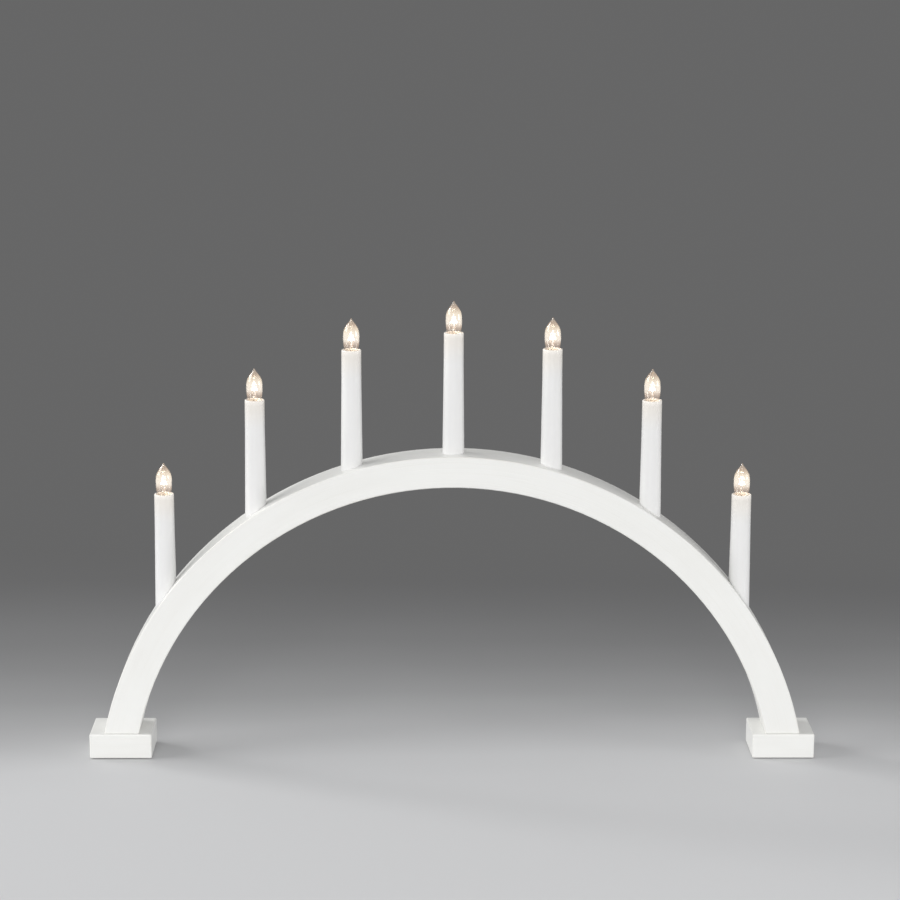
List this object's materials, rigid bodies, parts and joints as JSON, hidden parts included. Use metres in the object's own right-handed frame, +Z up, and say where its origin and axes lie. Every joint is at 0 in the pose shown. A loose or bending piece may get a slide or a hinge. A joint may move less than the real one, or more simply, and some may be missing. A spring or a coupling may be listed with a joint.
{
  "type": "electric candle arch",
  "caption": "Bent wooden arch on two block feet carrying a row of electric candles with screw-in pointed bulbs, wired through a covered channel under the bow.",
  "frame": {"origin": "middle of the rectangle that the two feet cover, on the surface that the arch stands on", "axes": "+X along the arch to the right seen from the front, -Y towards the front, +Z up"},
  "size_m": [0.64, 0.048, 0.406],
  "materials": {
    "painted_wood": "white satin paint over wood, faint grain and brush marks",
    "cover_painted": "white satin paint over a bent wooden strip",
    "candle_plastic": "white moulded plastic with a soft sheen",
    "holder_plastic": "off-white heat-proof plastic",
    "contact_brass": "thin pressed brass",
    "clear_glass": "clear thin glass",
    "cap_brass": "pressed brass, slightly dulled",
    "filament_metal": "bare lead wires and a lit filament",
    "insulator_glass": "black insulator with a tinned contact",
    "zinc_screw": "zinc-plated steel",
    "pad_felt": "dark pressed felt",
    "grommet_rubber": "white soft plastic bush",
    "wire_insulation": "white wire insulation"
  },
  "bodies": {
    "root": {"candle_sleeve_1": "candle_plastic", "lamp_holder_1": "holder_plastic", "socket_contacts_1": "contact_brass", "candle_sleeve_2": "candle_plastic", "lamp_holder_2": "holder_plastic", "socket_contacts_2": "contact_brass", "candle_sleeve_3": "candle_plastic", "lamp_holder_3": "holder_plastic", "socket_contacts_3": "contact_brass", "candle_sleeve_4": "candle_plastic", "lamp_holder_4": "holder_plastic", "socket_contacts_4": "contact_brass", "candle_sleeve_5": "candle_plastic", "lamp_holder_5": "holder_plastic", "socket_contacts_5": "contact_brass", "candle_sleeve_6": "candle_plastic", "lamp_holder_6": "holder_plastic", "socket_contacts_6": "contact_brass", "candle_sleeve_7": "candle_plastic", "lamp_holder_7": "holder_plastic", "socket_contacts_7": "contact_brass", "bow": "painted_wood", "left_foot": "painted_wood", "right_foot": "painted_wood", "foot_screws": "zinc_screw", "foot_pads": "pad_felt", "channel_cover": "cover_painted", "cover_screws": "zinc_screw", "cable_grommet": "grommet_rubber", "link_wires": "wire_insulation", "supply_wires": "wire_insulation"},
    "bulb_seat_1": {"bulb_tip_1": "insulator_glass"},
    "bulb_1": {"bulb_glass_1": "clear_glass", "bulb_cap_1": "cap_brass", "bulb_filament_1": "filament_metal"},
    "bulb_seat_2": {"bulb_tip_2": "insulator_glass"},
    "bulb_2": {"bulb_glass_2": "clear_glass", "bulb_cap_2": "cap_brass", "bulb_filament_2": "filament_metal"},
    "bulb_seat_3": {"bulb_tip_3": "insulator_glass"},
    "bulb_3": {"bulb_glass_3": "clear_glass", "bulb_cap_3": "cap_brass", "bulb_filament_3": "filament_metal"},
    "bulb_seat_4": {"bulb_tip_4": "insulator_glass"},
    "bulb_4": {"bulb_glass_4": "clear_glass", "bulb_cap_4": "cap_brass", "bulb_filament_4": "filament_metal"},
    "bulb_seat_5": {"bulb_tip_5": "insulator_glass"},
    "bulb_5": {"bulb_glass_5": "clear_glass", "bulb_cap_5": "cap_brass", "bulb_filament_5": "filament_metal"},
    "bulb_seat_6": {"bulb_tip_6": "insulator_glass"},
    "bulb_6": {"bulb_glass_6": "clear_glass", "bulb_cap_6": "cap_brass", "bulb_filament_6": "filament_metal"},
    "bulb_seat_7": {"bulb_tip_7": "insulator_glass"},
    "bulb_7": {"bulb_glass_7": "clear_glass", "bulb_cap_7": "cap_brass", "bulb_filament_7": "filament_metal"}
  },
  "joints": [
    {"name": "bulb_lift_1", "type": "slide", "parent": "root", "child": "bulb_seat_1", "axis": [0, 0, 1], "range_m": [0, 0.00726]},
    {"name": "bulb_turn_1", "type": "hinge", "parent": "bulb_seat_1", "child": "bulb_1", "pos_m": [-0.25199, -0.0025, 0.23587], "axis": [0, 0, 1], "range_deg": [0, 1440]},
    {"name": "bulb_lift_2", "type": "slide", "parent": "root", "child": "bulb_seat_2", "axis": [0, 0, 1], "range_m": [0, 0.00726]},
    {"name": "bulb_turn_2", "type": "hinge", "parent": "bulb_seat_2", "child": "bulb_2", "pos_m": [-0.17215, -0.0025, 0.31952], "axis": [0, 0, 1], "range_deg": [0, 1440]},
    {"name": "bulb_lift_3", "type": "slide", "parent": "root", "child": "bulb_seat_3", "axis": [0, 0, 1], "range_m": [0, 0.00726]},
    {"name": "bulb_turn_3", "type": "hinge", "parent": "bulb_seat_3", "child": "bulb_3", "pos_m": [-0.08833, -0.0025, 0.3635], "axis": [0, 0, 1], "range_deg": [0, 1440]},
    {"name": "bulb_lift_4", "type": "slide", "parent": "root", "child": "bulb_seat_4", "axis": [0, 0, 1], "range_m": [0, 0.00726]},
    {"name": "bulb_turn_4", "type": "hinge", "parent": "bulb_seat_4", "child": "bulb_4", "pos_m": [0, -0.0025, 0.37855], "axis": [0, 0, 1], "range_deg": [0, 1440]},
    {"name": "bulb_lift_5", "type": "slide", "parent": "root", "child": "bulb_seat_5", "axis": [0, 0, 1], "range_m": [0, 0.00726]},
    {"name": "bulb_turn_5", "type": "hinge", "parent": "bulb_seat_5", "child": "bulb_5", "pos_m": [0.08533, -0.0025, 0.36447], "axis": [0, 0, 1], "range_deg": [0, 1440]},
    {"name": "bulb_lift_6", "type": "slide", "parent": "root", "child": "bulb_seat_6", "axis": [0, 0, 1], "range_m": [0, 0.00726]},
    {"name": "bulb_turn_6", "type": "hinge", "parent": "bulb_seat_6", "child": "bulb_6", "pos_m": [0.17215, -0.0025, 0.31952], "axis": [0, 0, 1], "range_deg": [0, 1440]},
    {"name": "bulb_lift_7", "type": "slide", "parent": "root", "child": "bulb_seat_7", "axis": [0, 0, 1], "range_m": [0, 0.00726]},
    {"name": "bulb_turn_7", "type": "hinge", "parent": "bulb_seat_7", "child": "bulb_7", "pos_m": [0.25199, -0.0025, 0.23587], "axis": [0, 0, 1], "range_deg": [0, 1440]}
  ],
  "couplings": [
    {"joint": "bulb_lift_1", "follows": "bulb_turn_1", "m_per_rad": 0.00028871},
    {"joint": "bulb_lift_2", "follows": "bulb_turn_2", "m_per_rad": 0.00028871},
    {"joint": "bulb_lift_3", "follows": "bulb_turn_3", "m_per_rad": 0.00028871},
    {"joint": "bulb_lift_4", "follows": "bulb_turn_4", "m_per_rad": 0.00028871},
    {"joint": "bulb_lift_5", "follows": "bulb_turn_5", "m_per_rad": 0.00028871},
    {"joint": "bulb_lift_6", "follows": "bulb_turn_6", "m_per_rad": 0.00028871},
    {"joint": "bulb_lift_7", "follows": "bulb_turn_7", "m_per_rad": 0.00028871}
  ]
}
